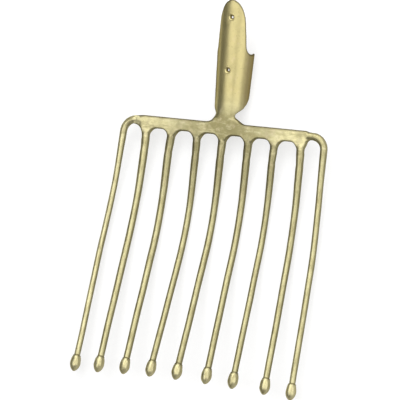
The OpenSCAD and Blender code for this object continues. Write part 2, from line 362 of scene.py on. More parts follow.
def bow(k, s):
    """How far tine k stands aside at length s: hand-set tines are never quite straight."""
    root, middle, end = BOWS[k + SIDE]
    root_at, middle_at, end_at = BOWS_AT
    aside = root + (middle - root) * eased(s, root_at, middle_at)
    aside += (end - middle) * eased(s, middle_at, end_at)
    aside += WANDER * wave(s / WANDER_LEN, 0, 0, k + SIDE + 1) * eased(s, 40, 110)
    # An inner tine starts straight below its arch
    return aside if is_outer(k) else aside * eased(s, 8, 40)


def make_tine(k, lacquer):
    """A rod from the weld or the bar's end to the shoulder of its ball."""
    number = k + SIDE + 1
    origin, across, hollow, down = tine_frame(k)
    line, radii, start = corner_line(k, origin, down) if is_outer(k) else ([], [], WELD_AT)
    shoulder = STRAIGHT + BEND_LEN + lower_len(k) - BALL_HALF
    steps = int((shoulder - start) / ROD_STEP)
    for i in range(steps + 1):
        s = start + (shoulder - start) * i / steps
        height, run, _ = tine_point(k, s)
        line.append(origin + across * bow(k, s) + hollow * (height - sunk(k, s)) + down * run)
        radii.append(tine_radius(k, s))
    hidden = HIDDEN_OUTER if is_outer(k) else HIDDEN_INNER
    radii = [r - max(0.0, 1 - d / hidden) for r, d in zip(radii, lengths_along(line))]
    finish_piece(hammered_rod(f"tine_{number}_rod", line, radii, number), f"tine_{number}", lacquer)


def corner_line(k, origin, down):
    """The rod from the bar's end round the corner: its line and radii, and where the straight part starts."""
    side = math.copysign(1, k)
    splay = SIDE * math.radians(SPLAY)
    corner_y = OUTER_LIFT - CORNER_R
    inward = (CORNER_R + corner_y * math.sin(splay)) / math.cos(splay)
    corner_x = OUTER_X - inward + side * BOWS[k + SIDE][0]
    steps = int((corner_x - BAR_HALF) / CORNER_STEP)
    flat = [(BAR_HALF + i * CORNER_STEP, 0.0) for i in range(steps)]
    turn = math.pi / 2 - splay
    for i in range(CORNER_TURNS + 1):
        a = math.pi / 2 - turn * i / CORNER_TURNS
        flat.append((corner_x + CORNER_R * math.cos(a), -CORNER_R + CORNER_R * math.sin(a)))
    lift = turned_about_x(-rise(k))
    line = [np.array([0, OUTER_LIFT, 0]) + lift @ np.array([side * x, y, 0]) for x, y in flat]
    end = (line[-1] - origin) @ down
    root, last = OUTER_RADII[0], len(line) - 1
    radii = [root + (tine_radius(k, end) - root) * i / last for i in range(len(line))]
    return line, radii, end + CORNER_GAP


# Balls

# The ring line: where its groove and the painted shade along it lie on the ball, with their depth and widths
GROOVE_AT, GROOVE_DEPTH, GROOVE_W = -8.9, 0.32, 0.4
RING_AT, RING_SHADE, RING_W = -9.7, 0.6, 0.6


def arc_through(depth, drop):
    """Radius of an arc that falls by drop over depth."""
    return (depth ** 2 + drop ** 2) / (2 * drop)


def ball_profile(k):
    """Radius of a ball along its axis, from the ring at its shoulder to its blunt nose."""
    shoulder_r = (OUTER_RADII if is_outer(k) else INNER_RADII)[2] + BALL_STEP
    upper = arc_through(BALL_HALF, BALL_R - shoulder_r)
    nose_at, nose_in = BALL_HALF - NOSE_R, BALL_R - NOSE_R
    off = (nose_at ** 2 - nose_in ** 2) / (2 * nose_in)
    lower = off + BALL_R
    join = nose_at * lower / (lower - NOSE_R)
    # The shoulder's flat face and its softened edge
    profile = [(-BALL_HALF, shoulder_r - 0.75), (-BALL_HALF, shoulder_r - 0.25)]
    profile.append((-BALL_HALF + 0.12, shoulder_r - 0.06))
    for z in np.linspace(-BALL_HALF + 0.3, 0, UPPER_RINGS):
        profile.append((z, BALL_R - upper + math.sqrt(upper ** 2 - z ** 2)))
    for z in np.linspace(0, join, LOWER_RINGS)[1:]:
        profile.append((z, -off + math.sqrt(lower ** 2 - z ** 2)))
    for a in np.linspace(math.acos((join - nose_at) / NOSE_R), 0.06, NOSE_RINGS)[1:]:
        profile.append((nose_at + NOSE_R * math.cos(a), NOSE_R * math.sin(a)))
    return [(z, r - GROOVE_DEPTH * swell(z - GROOVE_AT, GROOVE_W)) for z, r in profile]


def make_tip(k, lacquer):
    """The olive-shaped ball on the end of a tine, turned and then hammered a little."""
    number = k + SIDE + 1
    origin, across, hollow, down = tine_frame(k)
    s = STRAIGHT + BEND_LEN + lower_len(k)
    height, run, a = tine_point(k, s)
    middle = origin + across * bow(k, s) + hollow * height + down * run
    axis = hollow * math.sin(a) + down * math.cos(a)
    front = np.cross(axis, across)
    profile, verts = ball_profile(k), []
    for z, r in profile:
        for c, w in circle(BALL_SIDES):
            flats = wave(1.6 * c, 1.6 * w, z / 5, number + 20)
            hammered_r = hammered(r, flats, BALL_HAMMER, BALL_FLATS)
            verts.append(middle + axis * z + hammered_r * (c * across + w * front))
    ends = [middle + axis * profile[0][0], middle + axis * (BALL_HALF - 0.01)]
    piece = mesh_piece(f"tip_{number}_ball", verts + ends, ring_faces(len(profile), BALL_SIDES))
    # Painted shade in a ring along the groove
    ring_shade = [RING_SHADE * swell(z - RING_AT, RING_W) for z, _ in profile for _ in range(BALL_SIDES)]
    keep_painted_edge_shade(piece.data, ring_shade + [0.0, 0.0])
    finish_piece(piece, f"tip_{number}", lacquer)


def keep_painted_edge_shade(mesh, shares):
    """Keeps for the material how much painted edge shade lies on each vertex."""
    mesh.attributes.new("rim", "FLOAT", "POINT").data.foreach_set("value", shares)


# Crossbar and socket

# The rods that grow out of the legs: length along the tine and radius
ROOT_ROD = ((8, 4.6), (12, 5.4), (16, 6.1), (20, 6.4), (25, 6.4), (31, 6.15), (37, 5.9), (41, 5.2))
ROOT_FLAT = 0.9
# The rods that grow out of the ends of the bar: distance from its middle and radius
END_ROD = ((110, 4.8), (118, 5.35), (122, 5.2), (126, 4.5))
# Weld metal in the corners under the outer rods: outline in the plane of the bar, lowest and highest face
LEFT_WELD = ([(-112, 8), (-112, -16), (-113.5, -16), (-114.5, -12.5), (-116.2, -9.6), (-118.6, -7.0),
              (-122, -5.2), (-127, -4.2), (-127, 6.4), (-116, 7.6)], -3.6, 4.2)
RIGHT_WELD = ([(112, 6), (112, -11), (113.4, -10), (114.4, -8), (115.9, -6.3), (118.6, -4.9), (118.6, 5)],
              -3.6, 3.6)
# What the forging lost all over and at its legs, and the heights of its dents
SKIN_LOSS = 0.08
LEG_LOSS = 0.15
BROAD_DENTS = 0.10
FINE_DENTS = 0.04
ROOT_DENTS = 0.22
HOLE_DENT, HOLE_DENT_R = 0.35, 8.0
# Where the skin is evened out or pressed, each as start, full, full and end: down the legs, out along the
# ends of the bar, and up the neck
LEGS = (11, 15, 39, 42)
BAR_ENDS = (BAR_HALF - 5, BAR_HALF + 1, 123, 126)
NECK_JOINS = (3, 7, 34, 42)
NECK_FRONT = (3.5, 6, 36, 42)
# How far out from the middle of the neck it is evened out or pressed, in full and at all
JOIN_REACH = (16, 24)
FRONT_REACH = (15, 19)
GUSSET_JOIN_REACH = (24, 30)
GUSSET_FRONT_REACH = (26, 30)
GUSSET_TOP = 17
# What lies deeper than this below the forged face isn't pressed
PRESSED_DEPTH = 2.2
# Rounds of softening, and how far a vertex goes toward its neighbours in each
SKIN_ROUNDS = 5
JOIN_ROUNDS = 30
RIM_ROUNDS = 24
SKIN_PULL = 0.5
JOIN_PULL = 0.6
# Heights above the bar along the socket where its sheared edge and its tongue start
EDGE_FROM = 34
TONGUE_FROM = 90
# Where the socket's skin is parted from the bar's, above the bar's upper edge
PARTED_AT = 0.6
# The rim of a nail hole: radius and height over the sheet, from the lip down the bore to the burr and back
HOLE_PROFILE = ((5.2, -0.6), (4.8, 0.05), (4.4, 0.42), (4.0, 0.45), (3.6, 0.2), (3.0, -0.3), (2.5, -0.7),
                (2.1, -1.1), (1.95, -1.9), (1.75, -3.3), (1.55, -5.2), (1.9, -5.4), (2.6, -4.4), (3.2, -2.6))
HOLE_LIP_R = 4.2
HOLE_SUNK = 0.35


def bridge(bm, low, high):
    """Quads between two rings of vertices."""
    for j in range(len(low)):
        i = (j + 1) % len(low)
        bm.faces.new((low[j], low[i], high[i], high[j]))


def add_prism(bm, outline, low, high):
    """A prism over an outline in the plane of the bar, in the fork frame."""
    corners = [(x, y, z) for z in (low, high) for x, y in outline]
    verts = [bm.verts.new(p) for p in laid(corners)]
    bottom, top = verts[:len(outline)], verts[len(outline):]
    bm.faces.new(bottom[::-1])
    bm.faces.new(top)
    bridge(bm, bottom, top)


def add_rod(bm, stations, flat=1.0):
    """A rod through stations of centre, direction and radius, flattened toward the bar's plane."""
    rings = []
    for centre, tangent, r in stations:
        u = unit(np.cross(tangent, [0.0, 0.0, 1.0]))
        v = np.cross(tangent, u)
        ring = [centre + r * (c * u + flat * w * v) for c, w in circle(ROOT_SIDES)]
        rings.append([bm.verts.new(p) for p in laid(ring)])
    bm.faces.new(rings[0][::-1])
    bm.faces.new(rings[-1])
    for low, high in zip(rings, rings[1:]):
        bridge(bm, low, high)


def add_forging(bm):
    """The rods that run on into the tines, and the weld metal at the ends of the bar."""
    for k in range(1 - SIDE, SIDE):
        origin, across, _, down = tine_frame(k)
        add_rod(bm, [(origin + down * s + across * bow(k, s), down, r) for s, r in ROOT_ROD], ROOT_FLAT)
    for side in (-1, 1):
        outward = np.array([side, 0.0, 0.0])
        add_rod(bm, [(np.array([side * x, OUTER_LIFT, 0.0]), outward, r) for x, r in END_ROD])
    add_prism(bm, *LEFT_WELD)
    add_prism(bm, *RIGHT_WELD)


def cast_skin(name, nodes, extra):
    """One closed skin over the solids of some nodes, with the soft edges of forged metal."""
    bm = bmesh.new()
    for node in nodes:
        bm.from_mesh(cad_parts[node].data)
    extra(bm)
    bmesh.ops.recalc_face_normals(bm, faces=bm.faces)
    mesh = bpy.data.meshes.new(name)
    bm.to_mesh(mesh)
    bm.free()
    piece = put_in_scene(name, mesh)
    skin = piece.modifiers.new("skin", "REMESH")
    skin.mode, skin.voxel_size = "VOXEL", VOXEL * MM
    soften = piece.modifiers.new("soften", "SMOOTH")
    soften.factor, soften.iterations = SKIN_PULL, SKIN_ROUNDS
    bpy.context.view_layer.update()
    done = bpy.data.meshes.new_from_object(piece.evaluated_get(bpy.context.evaluated_depsgraph_get()))
    bpy.data.objects.remove(piece)
    return done


def part_at_bar(mesh, name, keep_socket):
    """Keeps the skin on one side of the bar's upper edge, with the cut closed."""
    bm = bmesh.new()
    bm.from_mesh(mesh)
    place = Vector(laid([(0, BAR_H / 2 + PARTED_AT, 0)])[0])
    normal = laid_direction((0, 1, 0)) * (-1 if keep_socket else 1)
    whole = bm.verts[:] + bm.edges[:] + bm.faces[:]
    bmesh.ops.bisect_plane(bm, geom=whole, plane_co=place, plane_no=normal, clear_outer=True)
    rim = [edge for edge in bm.edges if edge.is_boundary]
    for edge in rim:
        edge.smooth = False
    bmesh.ops.holes_fill(bm, edges=rim, sides=0)
    part = bpy.data.meshes.new(name)
    bm.to_mesh(part)
    bm.free()
    return put_in_scene(name, part)


def vertex_places(mesh):
    """Places of the vertices in the scene, in metres."""
    places = np.empty(3 * len(mesh.vertices))
    mesh.vertices.foreach_get("co", places)
    return places.reshape(-1, 3)


def vertex_normals(mesh):
    """Directions out of the skin at the vertices, in the scene."""
    normals = np.empty(3 * len(mesh.vertices))
    mesh.vertex_normals.foreach_get("vector", normals)
    return normals.reshape(-1, 3)


def set_places(mesh, places):
    """Moves the vertices to places of the scene, in metres."""
    mesh.vertices.foreach_set("co", places.ravel())
    mesh.update()


def edge_ends(mesh):
    """The two vertices of each edge."""
    ends = np.empty(2 * len(mesh.edges), int)
    mesh.edges.foreach_get("vertices", ends)
    return ends[::2], ends[1::2]


def sum_of_neighbours(values, a, b, n):
    """For each of n vertices, the sum of a value over the vertices that edges a to b join to it."""
    return np.bincount(a, values[b], n) + np.bincount(b, values[a], n)


def neighbour_counts(a, b, n):
    """How many vertices edges a to b join to each of n vertices, and at least 1."""
    return np.maximum(1, np.bincount(a, minlength=n) + np.bincount(b, minlength=n))


def shares_by(mesh, rule):
    """What the rule gives for the place of each vertex in the fork frame, in mm."""
    return np.array([rule(*place) for place in unlaid(vertex_places(mesh))])


def relax(mesh, amount, rounds):
    """Evens out the skin by a share of 0 to 1 for each vertex."""
    places = vertex_places(mesh)
    n = len(places)
    a, b = edge_ends(mesh)
    live = np.flatnonzero((amount[a] > 0) | (amount[b] > 0))
    a, b = a[live], b[live]
    count = neighbour_counts(a, b, n)
    for _ in range(rounds):
        for axis in range(3):
            pull = sum_of_neighbours(places[:, axis], a, b, n)
            places[:, axis] += JOIN_PULL * amount * (pull / count - places[:, axis]) * (amount > 0)
    set_places(mesh, places)


def spread(mesh, amount, rounds, keep):
    """Lets the share of each vertex run on softly to its neighbours, which keep most of it."""
    n = len(mesh.vertices)
    a, b = edge_ends(mesh)
    count = neighbour_counts(a, b, n)
    for _ in range(rounds):
        grown = amount.copy()
        np.maximum.at(grown, a, keep * amount[b])
        np.maximum.at(grown, b, keep * amount[a])
        amount = 0.5 * grown + 0.5 * (sum_of_neighbours(grown, a, b, n) / count)
    return amount


def climb(value, start, run):
    """0 up to start, and then a straight climb to 1 over the run."""
    return np.clip((value - start) / run, 0, 1)


def socket_place(y, z):
    """Height t above the bar along the socket's axis, and height h from the axis to the front."""
    y, z = y - BAR_H / 2, z - AXIS_Z
    return y * math.cos(LEAN) + z * math.sin(LEAN), -y * math.sin(LEAN) + z * math.cos(LEAN)


def rim_shares(mesh, for_painted_shade=False):
    """The edges of the rolled sheet and of the bar, where the skin faces neither front nor back."""
    places, normals = unlaid(vertex_places(mesh)), vertex_normals(mesh) @ TURN
    x, above_bar = places[:, 0], places[:, 1] - BAR_H / 2
    t, h = socket_place(places[:, 1], places[:, 2])
    normal_h = -normals[:, 1] * math.sin(LEAN) + normals[:, 2] * math.cos(LEAN)
    out_of_cone = np.abs(x * normals[:, 0] + h * normal_h) / np.hypot(x, h)
    # The wings' edges are rounded half as much as the tongue's, and get half as much painted edge shade
    rounded = np.where(t > TONGUE_FROM, 1.0, 0.5)
    sheet = (1 - climb(out_of_cone, 0.35, 0.5)) * rounded * climb(t, EDGE_FROM, 6)
    # The bar's share ends above its upper edge and down its legs
    bar = (1 - climb(np.abs(normals[:, 2]), 0.4, 0.45)) * climb(above_bar, -30, 4) * climb(-above_bar, -4, 1)
    if for_painted_shade:
        # For the painted edge shade, less of it lies on the flanks that face right
        bar *= 1 - np.clip(1.3 * normals[:, 0], 0, 1)
    return np.maximum(sheet, 0.7 * bar * (np.abs(x) < BAR_HALF + 2))


def root_share(x, y, z):
    """Where the legs turn into rods, and the corners at the ends of the bar."""
    # The right corner keeps its step
    evened = 0.3 if x > 0 and y < 3 else 0.8
    return max(between(-y, *LEGS), evened * between(abs(x), *BAR_ENDS))


def on_gusset(x, y):
    """The straight gusset at the right of the neck."""
    return x > 0 and y < GUSSET_TOP


def neck_share(x, y, z):
    """The forged neck, with its joins to the bar and the sheet."""
    reach = GUSSET_JOIN_REACH if on_gusset(x, y) else JOIN_REACH
    front = eased(z, -9, -5)
    return between(y, *NECK_JOINS) * front * (1 - eased(abs(x), *reach))


def neck_face(x, y):
    """Height of the forged face, which goes from flat at the bar to round at the rolled sheet."""
    above_bar = y - BAR_H / 2
    t = above_bar
    # The sheet's height is found in two rounds, because the cone leans
    for _ in range(2):
        h = math.sqrt(max(5.0 ** 2, (SOCKET_R + t * SOCKET_SLOPE) ** 2 - x * x))
        t = (above_bar + h * math.sin(LEAN)) / math.cos(LEAN)
    sheet = AXIS_Z + t * math.sin(LEAN) + h * math.cos(LEAN)
    flat = BAR_T / 2 - 0.5 * eased(y, 4, 12)
    # The sides take the sheet's form lower down than the middle does, save on the gusset
    gusset = eased(x, 15, 17) * (1 - eased(y, 16, 18))
    aside = eased(abs(x), 7, 15) * eased(y, 12.5, 20) * (1 - gusset)
    rolled = 1 - (1 - eased(y, 9, 36)) * (1 - aside)
    return flat + (sheet - flat) * rolled


def press_neck(mesh):
    """Brings the front of the neck to its forged face."""
    places = unlaid(vertex_places(mesh))
    above, below = places[:, 1] > NECK_FRONT[0], places[:, 1] < NECK_FRONT[-1]
    near = above & below & (np.abs(places[:, 0]) < GUSSET_FRONT_REACH[-1])
    for i in np.flatnonzero(near):
        x, y, z = places[i]
        face = neck_face(x, y)
        if z > face - PRESSED_DEPTH:
            reach = GUSSET_FRONT_REACH if on_gusset(x, y) else FRONT_REACH
            hold = between(y, *NECK_FRONT) * (1 - eased(abs(x), *reach))
            places[i, 2] = z + (face - z) * hold
    set_places(mesh, laid(places))


def stand_off(x, y, z):
    """How far the forged surface stands off its plain shape, in mm."""
    broad, fine = (wave(x / size, y / size, z / size, seed) for size, seed in ((14, 5), (4, 8)))
    near_root = swell(y + 17, 7) if y < 4 else 0.0
    out = -SKIN_LOSS + BROAD_DENTS * broad
    out += (FINE_DENTS + ROOT_DENTS * near_root) * fine
    if y < -9:
        # Each leg is drawn as thin as its tine
        leg = min(2 * SIDE, max(0, round(x / PITCH) + SIDE))
        out -= (LEG_LOSS + DRAWN[leg]) * eased(-y, 10, 22)
    t, h = socket_place(y, z)
    if t > 20 and h > 0:
        # The sheet is a little dented round the nail holes
        for hole in NAIL_HOLES:
            out -= HOLE_DENT * math.exp(-((x ** 2 + (t - hole) ** 2) / HOLE_DENT_R ** 2))
    return out


def move_out(mesh, rule):
    """Moves each vertex along its normal by what the rule gives for its place in the fork frame, in mm."""
    places = vertex_places(mesh)
    places += vertex_normals(mesh) * (shares_by(mesh, rule) * MM)[:, None]
    set_places(mesh, places)


def add_punched_hole(mesh, t):
    """A nail hole punched from the front: a raised lip, a dish, and a bore that narrows to its burr."""
    flare = math.atan(SOCKET_SLOPE)
    r = SOCKET_R + t * SOCKET_SLOPE
    up = np.array([0.0, math.cos(LEAN), math.sin(LEAN)])
    front = np.array([0.0, -math.sin(LEAN), math.cos(LEAN)])
    out = front * math.cos(flare) - up * math.sin(flare)
    side, along_sheet = np.array([1.0, 0.0, 0.0]), np.cross(out, [1.0, 0.0, 0.0])
    base = np.array([0.0, BAR_H / 2, AXIS_Z])
    middle = base + up * t + front * (r - HOLE_SUNK)
    bm = bmesh.new()
    bm.from_mesh(mesh)
    rings = []
    for ring_r, height in HOLE_PROFILE:
        ring = []
        for c, w in circle(HOLE_SIDES):
            x = ring_r * c
            # The lip follows the sheet's curve
            sag = (x * x) / (2 * r) * min(1.0, ring_r / HOLE_LIP_R)
            ring.append(middle + side * x + along_sheet * ring_r * w + out * (height - sag))
        rings.append([bm.verts.new(p) for p in laid(ring)])
    for upper, lower in zip(rings, rings[1:] + rings[:1]):
        bridge(bm, upper, lower)
    bmesh.ops.recalc_face_normals(bm, faces=bm.faces[-HOLE_SIDES * len(rings):])
    bm.to_mesh(mesh)
    bm.free()


def make_head(lacquer):
    """The bar and the socket, forged as one skin and parted at the bar's upper edge."""
    skin = cast_skin("head", ["crossbar", "socket"], add_forging)
    relax(skin, shares_by(skin, root_share), JOIN_ROUNDS)
    press_neck(skin)
    relax(skin, shares_by(skin, neck_share), JOIN_ROUNDS)
    relax(skin, spread(skin, rim_shares(skin), rounds=3, keep=0.8), RIM_ROUNDS)
    # Painted edge shade, kept on the vertices for the material
    keep_painted_edge_shade(skin, spread(skin, rim_shares(skin, for_painted_shade=True), rounds=4, keep=0.95))
    move_out(skin, stand_off)
    bar = part_at_bar(skin, "crossbar_forging", keep_socket=False)
    sheet = part_at_bar(skin, "socket_sheet", keep_socket=True)
    for t in NAIL_HOLES:
        add_punched_hole(sheet.data, t)
    for piece, node in ((bar, "crossbar"), (sheet, "socket")):
        smooth(piece)
        finish_piece(piece, node, lacquer)


# Lacquer

# Colours of the pieces where the lacquer is clear
BAR_GOLD = (0.565, 0.525, 0.30, 1)
SHEET_GOLD = (0.52, 0.449, 0.208, 1)
CLOUDED_GOLD = (0.45, 0.395, 0.19, 1)
NECK_OLIVE = (0.20, 0.176, 0.07, 1)
BAR_END_GOLD = (0.72, 0.657, 0.365, 1)
CORNER_OLIVE = (0.27, 0.24, 0.11, 1)
TINE_OLIVE = (0.36, 0.335, 0.175, 1)
ROOT_OLIVE = (0.18, 0.16, 0.075, 1)
LEFT_TINE_GOLD = (0.72, 0.665, 0.40, 1)
BALL_GOLD = (0.57, 0.52, 0.30, 1)
# Marks of the forge and the mill under the lacquer
BLOTCH_DARK = (0.24, 0.205, 0.09, 1)
BLOTCH_PALE = (0.68, 0.62, 0.36, 1)
BLOTCH_GREY = (0.62, 0.55, 0.36, 1)
TAN_PATCH = (0.57, 0.46, 0.31, 1)
ROLLED_DARK = (0.25, 0.22, 0.10, 1)
ROLLED_PALE = (0.76, 0.71, 0.46, 1)
PIT_BROWN = (0.19, 0.155, 0.07, 1)
STREAK_OLIVE = (0.27, 0.235, 0.11, 1)
# Painted shade: darker colours on the flanks, the underside, the right shoulder of the neck and along the
# edges
BAR_FLANK_SHADE = (0.16, 0.145, 0.075, 1)
SHEET_FLANK_SHADE = (0.165, 0.125, 0.055, 1)
BALL_FLANK_SHADE = (0.50, 0.455, 0.265, 1)
BAR_RIGHT_FLANK_SHADE = (0.36, 0.33, 0.18, 1)
SHOULDER_SHADE = (0.20, 0.175, 0.08, 1)
TINE_FLANK_SHADE = (0.20, 0.18, 0.09, 1)
SHEET_LEFT_SHADE = (0.05, 0.04, 0.018, 1)
EDGE_SHADE = (0.10, 0.085, 0.04, 1)
# What the metal shows at a grazing view
STEEL_TINT = (0.34, 0.295, 0.165, 1)
# Fades of the coats along the laid fork, in metres: where each starts and where it is full
SHEET_FADE = (0.100, 0.135)
ABOVE_NECK = (0.118, 0.130)
BELOW_SOCKET = (0.118, 0.100)
ABOVE_ROOTS = (0.035, 0.066)
BELOW_ARCHES = (0.076, 0.066)
BELOW_BAR = (0.075, 0.060)
UP_THE_TINES = (-0.022, 0.062)
ABOVE_BALLS = (-0.228, -0.222)
BALL_FADE = (-0.222, -0.228)
# Fades across the fork: from its middle, at one side, and from the middle of the darkest tines
TOWARD_NECK = (0.100, 0.018)
TOWARD_ENDS = (0.062, 0.100)
BEFORE_CORNERS = (0.120, 0.113)
RIGHT_CORNER = (0.113, 0.119)
LEFT_TINE = (-0.125, -0.135)
DARKEST_X = 0.018
INNER_TINES = (0.150, 0.060)
DARK_ROOTS = (0.112, 0.066)
# The arches' height, with the fade away from it, and the right shoulder of the neck
ARCHES_Y = 0.078
OFF_ARCHES = (0.006, 0.012)
SHOULDER_X = 0.017
SHOULDER_Y = 0.099


class NodeMaker:
    """Makes and joins the nodes of one tree."""

    def __init__(self, tree):
        self.nodes, self.link = tree.nodes, tree.links.new

    def feed(self, socket, term):
        """Gives a socket what another one puts out, or a plain value."""
        if isinstance(term, bpy.types.NodeSocket):
            self.link(term, socket)
        else:
            socket.default_value = term

    def node(self, kind, **terms):
        """A node with these inputs. An underscore in a name stands for a space."""
        made = self.nodes.new(kind)
        for name, term in terms.items():
            self.feed(made.inputs[name.replace("_", " ")], term)
        return made

    def worked(self, operation, *terms):
        """What a Math node makes of the terms."""
        made = self.nodes.new("ShaderNodeMath")
        made.operation = operation
        for socket, term in zip(made.inputs, terms):
            self.feed(socket, term)
        return made.outputs["Value"]

    def both(self, a, b):
        """A mask that holds only where both masks hold."""
        return self.worked("MULTIPLY", a, b)

    def away_from(self, value, centre):
        """How far a value is from a centre, on either side."""
        return self.worked("ABSOLUTE", self.worked("SUBTRACT", value, centre))

    def ramp(self, value, fade, most=1.0, least=0.0):
        """A mask that goes from least, where the value is at the fade's start, to most at its end."""
        made = self.node("ShaderNodeMapRange", Value=value, From_Min=fade[0], From_Max=fade[1],
                         To_Min=least, To_Max=most)
        return made.outputs["Result"]

    def split(self, vector):
        """X, Y and Z of a vector."""
        made = self.node("ShaderNodeSeparateXYZ", Vector=vector)
        return made.outputs["X"], made.outputs["Y"], made.outputs["Z"]


class Coats(NodeMaker):
    """The coats of colour on the fork, each laid over the ones before it, by places in metres."""

    def __init__(self, tree):
        super().__init__(tree)
        self.place = self.nodes.new("ShaderNodeTexCoord").outputs["Object"]
        self.x, self.y, _ = self.split(self.place)
        normal = self.nodes.new("ShaderNodeNewGeometry").outputs["Normal"]
        self.turned_x, _, self.turned_z = self.split(normal)
        # The bar and the roots of the tines, the rods, the balls, and the rolled sheet
        self.bar = self.both(self.ramp(self.y, BELOW_SOCKET), self.ramp(self.y, ABOVE_ROOTS))
        self.rods = self.both(self.ramp(self.y, BELOW_ARCHES), self.ramp(self.y, ABOVE_BALLS))
        self.balls = self.ramp(self.y, BALL_FADE)
        self.sheet = self.ramp(self.y, SHEET_FADE)
        self.tone = self.mixed(self.sheet, BAR_GOLD, SHEET_GOLD)

    def mixed(self, share_of, under, over):
        """One colour over another, by the share of the upper one."""
        made = self.nodes.new("ShaderNodeMix")
        made.data_type = "RGBA"
        for name, term in (("Factor", share_of), ("A", under), ("B", over)):
            self.feed(made.inputs[name], term)
        return made.outputs["Result"]

    def coat(self, colour, mask, within=None):
        """Lays a colour over the fork by a mask, or by a mask within another."""
        share_of = mask if within is None else self.both(within, mask)
        self.tone = self.mixed(share_of, self.tone, colour)

    def clouds(self, scale, detail, rough=0.55, squeeze=None):
        """Cloudy noise over the fork, drawn out along each axis that is squeezed."""
        place = self.place
        if squeeze:
            place = self.node("ShaderNodeMapping", Vector=place, Scale=squeeze).outputs["Vector"]
        made = self.node("ShaderNodeTexNoise", Vector=place, Scale=scale, Detail=detail, Roughness=rough)
        return made.outputs["Fac"]


def lay_bar_coats(coats):
    """The bar is darkest round the neck and pale toward its ends."""
    wide = coats.away_from(coats.x, 0.0)
    coats.coat(NECK_OLIVE, coats.ramp(wide, TOWARD_NECK, most=0.80), within=coats.bar)
    ends = coats.both(coats.ramp(wide, TOWARD_ENDS, most=0.75), coats.ramp(wide, BEFORE_CORNERS))
    coats.coat(BAR_END_GOLD, ends, within=coats.bar)
    coats.coat(CORNER_OLIVE, coats.ramp(coats.x, RIGHT_CORNER, most=0.45), within=coats.bar)


def lay_tine_coats(coats):
    """The inner tines are darker than the outer ones, most at their roots, and the balls are the palest."""
    from_dark = coats.away_from(coats.x, DARKEST_X)
    coats.coat(TINE_OLIVE, coats.ramp(from_dark, INNER_TINES, most=0.42), within=coats.rods)
    near_dark = coats.both(coats.rods, coats.ramp(from_dark, DARK_ROOTS))
    coats.coat(ROOT_OLIVE, coats.ramp(coats.y, UP_THE_TINES, most=0.80), within=near_dark)
    coats.coat(LEFT_TINE_GOLD, coats.ramp(coats.x, LEFT_TINE, most=0.4), within=coats.rods)
    clouded = coats.ramp(coats.clouds(90, 3), (0.2, 0.6), least=0.25, most=0.6)
    coats.coat(BALL_GOLD, clouded, within=coats.balls)


def lay_forge_marks(coats):
    """Blotches and rolling marks on the bar, drawn streaks along the tines, and patches and pits all over."""
    dark, pale, grey = coats.clouds(75, 5, 0.65), coats.clouds(62, 4, 0.6), coats.clouds(150, 4, 0.6)
    coats.coat(BLOTCH_DARK, coats.ramp(dark, (0.46, 0.68), most=0.65), within=coats.bar)
    coats.coat(BLOTCH_PALE, coats.ramp(pale, (0.50, 0.70), most=0.6), within=coats.bar)
    coats.coat(BLOTCH_GREY, coats.ramp(grey, (0.52, 0.72), most=0.45), within=coats.bar)
    coats.coat(TAN_PATCH, coats.ramp(coats.clouds(130, 4), (0.58, 0.78), most=0.4))
    rolled = coats.clouds(170, 5, 0.65, squeeze=(0.3, 1.0, 1.0))
    coats.coat(ROLLED_DARK, coats.ramp(rolled, (0.50, 0.68), most=0.55), within=coats.bar)
    coats.coat(ROLLED_PALE, coats.ramp(rolled, (0.46, 0.32), most=0.4), within=coats.bar)
    coats.coat(PIT_BROWN, coats.ramp(coats.clouds(420, 5, 0.7), (0.58, 0.76), most=0.65))
    streaks = coats.clouds(260, 4, 0.6, squeeze=(1.0, 0.16, 1.0))
    below_bar = coats.ramp(coats.y, BELOW_BAR)
    coats.coat(STREAK_OLIVE, coats.ramp(streaks, (0.48, 0.66), most=0.7), within=below_bar)


def lay_flank_shade(coats):
    """Painted shade by the way the skin faces: on the flanks and the underside, on the tines' sides and down
    the sheet's left edge, and on the right shoulder of the neck.
    """
    # Painted shade on faces that turn away from the front, by the direction they face
    flank_shade = coats.mixed(coats.sheet, BAR_FLANK_SHADE, SHEET_FLANK_SHADE)
    coats.coat(flank_shade, coats.ramp(coats.turned_z, (0.68, 0.32), most=0.72))
    # Lighter painted shade on the balls' flanks
    coats.coat(BALL_FLANK_SHADE, coats.ramp(coats.turned_z, (0.75, 0.2), most=0.6), within=coats.balls)
    # Lighter painted shade on the bar's flanks that face right
    coats.coat(BAR_RIGHT_FLANK_SHADE, coats.ramp(coats.turned_x, (0.55, 0.90), most=0.6), within=coats.bar)
    # Painted shade on the right shoulder of the neck
    across = coats.ramp(coats.away_from(coats.x, SHOULDER_X), (0.013, 0.004), most=0.6)
    upward = coats.ramp(coats.away_from(coats.y, SHOULDER_Y), (0.011, 0.004))
    coats.coat(SHOULDER_SHADE, upward, within=across)
    # Painted shade on the tines' sides, most on the right
    coats.coat(TINE_FLANK_SHADE, coats.ramp(coats.turned_x, (0.40, 0.80), most=0.62), within=coats.rods)
    coats.coat(TINE_FLANK_SHADE, coats.ramp(coats.turned_x, (-0.35, -0.80), most=0.1), within=coats.rods)
    # Painted shade down the sheet's left side, above the neck
    left_shade = coats.ramp(coats.turned_x, (-0.62, -0.9), most=0.8)
    coats.coat(SHEET_LEFT_SHADE, left_shade, within=coats.ramp(coats.y, ABOVE_NECK))


def lay_edge_shade(coats):
    """Thin dark lines of painted shade along the sheared edges and the balls' ring lines, fainter under the
    bar's arches.
    """
    # The rim attribute holds the share of painted edge shade at each vertex
    rim = coats.nodes.new("ShaderNodeAttribute")
    rim.attribute_name = "rim"
    from_arches = coats.away_from(coats.y, ARCHES_Y)
    edges = coats.ramp(rim.outputs["Fac"], (0.05, 0.55), most=0.8)
    coats.coat(EDGE_SHADE, coats.ramp(from_arches, OFF_ARCHES, least=0.4), within=edges)


